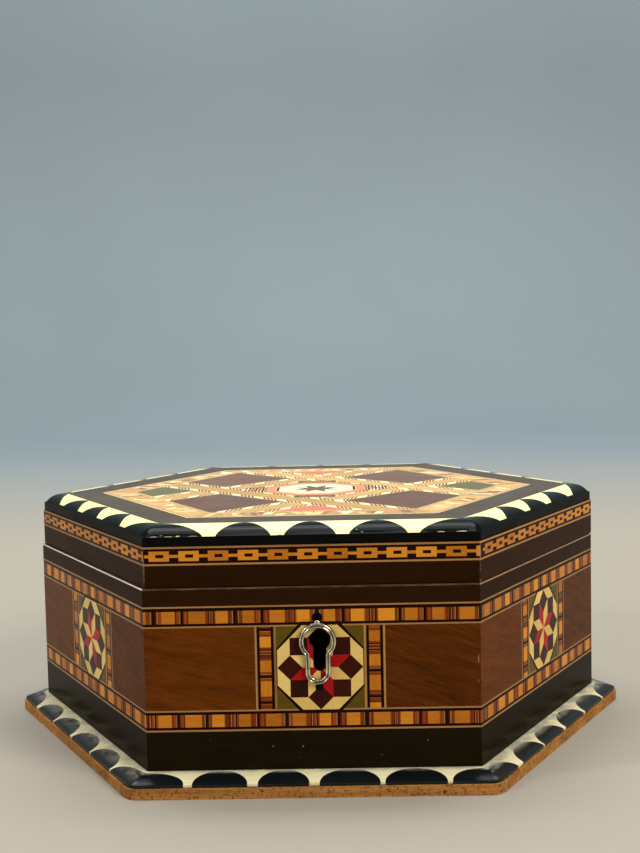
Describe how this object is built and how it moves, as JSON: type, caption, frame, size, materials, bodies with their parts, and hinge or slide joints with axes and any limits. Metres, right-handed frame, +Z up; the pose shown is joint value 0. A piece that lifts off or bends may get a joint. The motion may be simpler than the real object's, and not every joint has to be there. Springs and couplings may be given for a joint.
{
  "type": "hexagonal box",
  "caption": "Hexagonal wooden trinket box with marquetry sides, rounded mouldings, a metal keyhole rim and a flat lid that lifts off.",
  "frame": {"origin": "middle of the underside of the base board, on the surface the box stands on", "axes": "+Z up, -Y out of the face with the keyhole, +X to the right seen from the front, through two corners of the hexagon"},
  "size_m": [0.2178, 0.1902, 0.0793],
  "materials": {
    "raw_wood": "bare, worn softwood edge",
    "varnished_walnut": "walnut veneer with inlay under gloss varnish",
    "inlaid_top": "mosaic inlay under gloss varnish",
    "ebonised_wood": "black and bone-coloured veneer under gloss varnish",
    "nickel": "worn nickel plate"
  },
  "bodies": {
    "root": {"base_board": "raw_wood", "base_moulding_front": "ebonised_wood", "base_moulding_front_right": "ebonised_wood", "base_moulding_back_right": "ebonised_wood", "base_moulding_back": "ebonised_wood", "base_moulding_back_left": "ebonised_wood", "base_moulding_front_left": "ebonised_wood", "wall_front": "varnished_walnut", "wall_front_right": "varnished_walnut", "wall_back_right": "varnished_walnut", "wall_back": "varnished_walnut", "wall_back_left": "varnished_walnut", "wall_front_left": "varnished_walnut", "lid_rail_front": "varnished_walnut", "lid_rail_front_right": "varnished_walnut", "lid_rail_back_right": "varnished_walnut", "lid_rail_back": "varnished_walnut", "lid_rail_back_left": "varnished_walnut", "lid_rail_front_left": "varnished_walnut", "lid_moulding_front": "ebonised_wood", "lid_moulding_front_right": "ebonised_wood", "lid_moulding_back_right": "ebonised_wood", "lid_moulding_back": "ebonised_wood", "lid_moulding_back_left": "ebonised_wood", "lid_moulding_front_left": "ebonised_wood", "lid_panel": "inlaid_top", "escutcheon": "nickel"}
  },
  "joints": []
}
